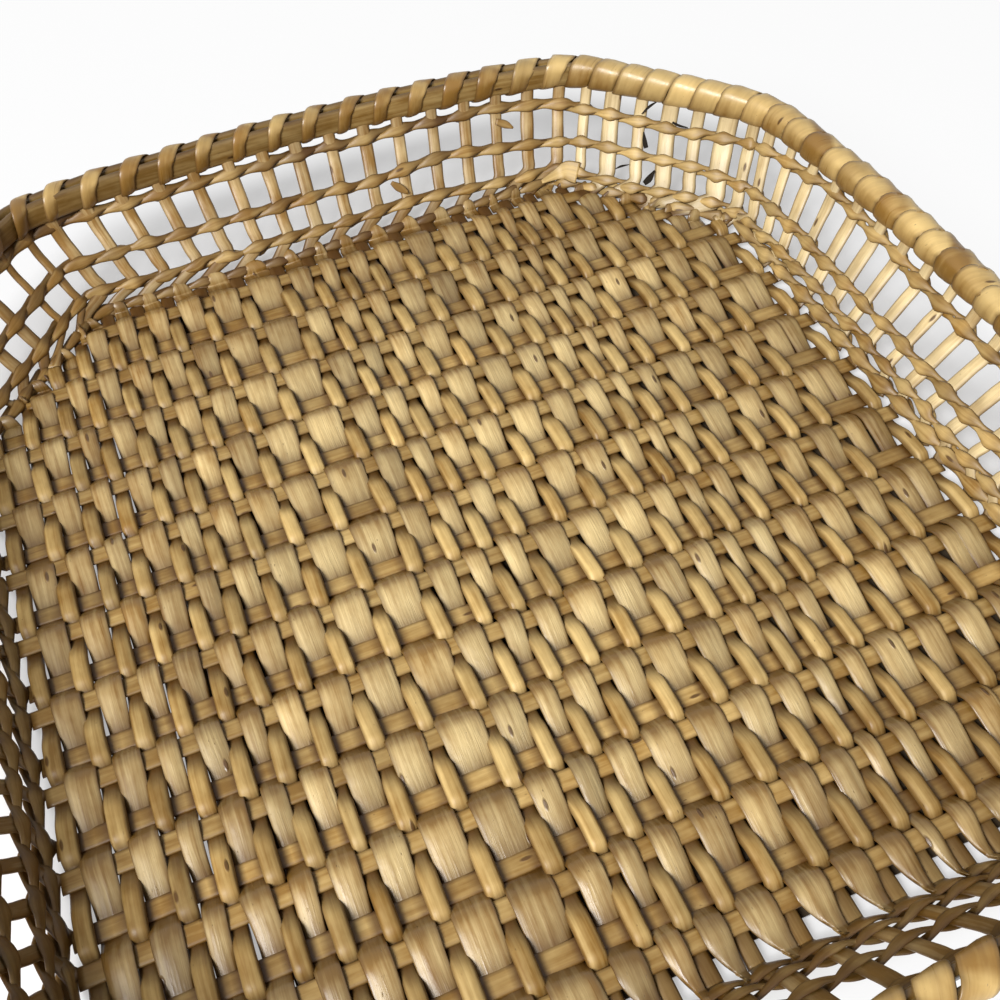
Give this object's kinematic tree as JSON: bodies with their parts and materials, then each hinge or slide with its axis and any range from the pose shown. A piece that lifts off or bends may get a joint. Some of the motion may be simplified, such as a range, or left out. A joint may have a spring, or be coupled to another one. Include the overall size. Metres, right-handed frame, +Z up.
{
  "type": "woven drying basket",
  "caption": "Low, wide splint-woven drying basket with an open weave base, flared openwork walls and a lashed hoop rim.",
  "frame": {"origin": "on the ground, under the middle of the basket's base", "axes": "+X along the wefts, towards the basket's right side; +Y along the stakes, towards the back; +Z up"},
  "size_m": [0.4508, 0.472, 0.0576],
  "materials": {
    "weft_strip": "matte peeled willow",
    "narrow_stake": "satin peeled willow",
    "wide_splint": "satin split willow",
    "wall_stakes": "matte peeled willow",
    "rim_lath": "satin split willow",
    "rim_lashing": "glossy split willow"
  },
  "bodies": {
    "root": {"weft_grid": "weft_strip", "narrow_stake_01": "narrow_stake", "narrow_stake_02": "narrow_stake", "narrow_stake_03": "narrow_stake", "narrow_stake_04": "narrow_stake", "narrow_stake_05": "narrow_stake", "narrow_stake_06": "narrow_stake", "narrow_stake_07": "narrow_stake", "narrow_stake_08": "narrow_stake", "narrow_stake_09": "narrow_stake", "narrow_stake_10": "narrow_stake", "narrow_stake_11": "narrow_stake", "narrow_stake_12": "narrow_stake", "narrow_stake_13": "narrow_stake", "narrow_stake_14": "narrow_stake", "narrow_stake_15": "narrow_stake", "narrow_stake_16": "narrow_stake", "narrow_stake_17": "narrow_stake", "narrow_stake_18": "narrow_stake", "narrow_stake_19": "narrow_stake", "narrow_stake_20": "narrow_stake", "narrow_stake_21": "narrow_stake", "narrow_stake_22": "narrow_stake", "wide_splint_01": "wide_splint", "wide_splint_02": "wide_splint", "wide_splint_03": "wide_splint", "wide_splint_04": "wide_splint", "wide_splint_05": "wide_splint", "wide_splint_06": "wide_splint", "wide_splint_07": "wide_splint", "wide_splint_08": "wide_splint", "wide_splint_09": "wide_splint", "wide_splint_10": "wide_splint", "wide_splint_11": "wide_splint", "wide_splint_12": "wide_splint", "wide_splint_13": "wide_splint", "wide_splint_14": "wide_splint", "wide_splint_15": "wide_splint", "wide_splint_16": "wide_splint", "wide_splint_17": "wide_splint", "wide_splint_18": "wide_splint", "wide_splint_19": "wide_splint", "wide_splint_20": "wide_splint", "wide_splint_21": "wide_splint", "wide_splint_22": "wide_splint", "wide_splint_23": "wide_splint", "wall_right": "wall_stakes", "corner_back_right": "wall_stakes", "wall_back": "wall_stakes", "corner_back_left": "wall_stakes", "wall_left": "wall_stakes", "corner_front_left": "wall_stakes", "wall_front": "wall_stakes", "corner_front_right": "wall_stakes", "rim_inner_lath": "rim_lath", "rim_outer_lath": "rim_lath", "rim_lashing": "rim_lashing"}
  },
  "joints": []
}
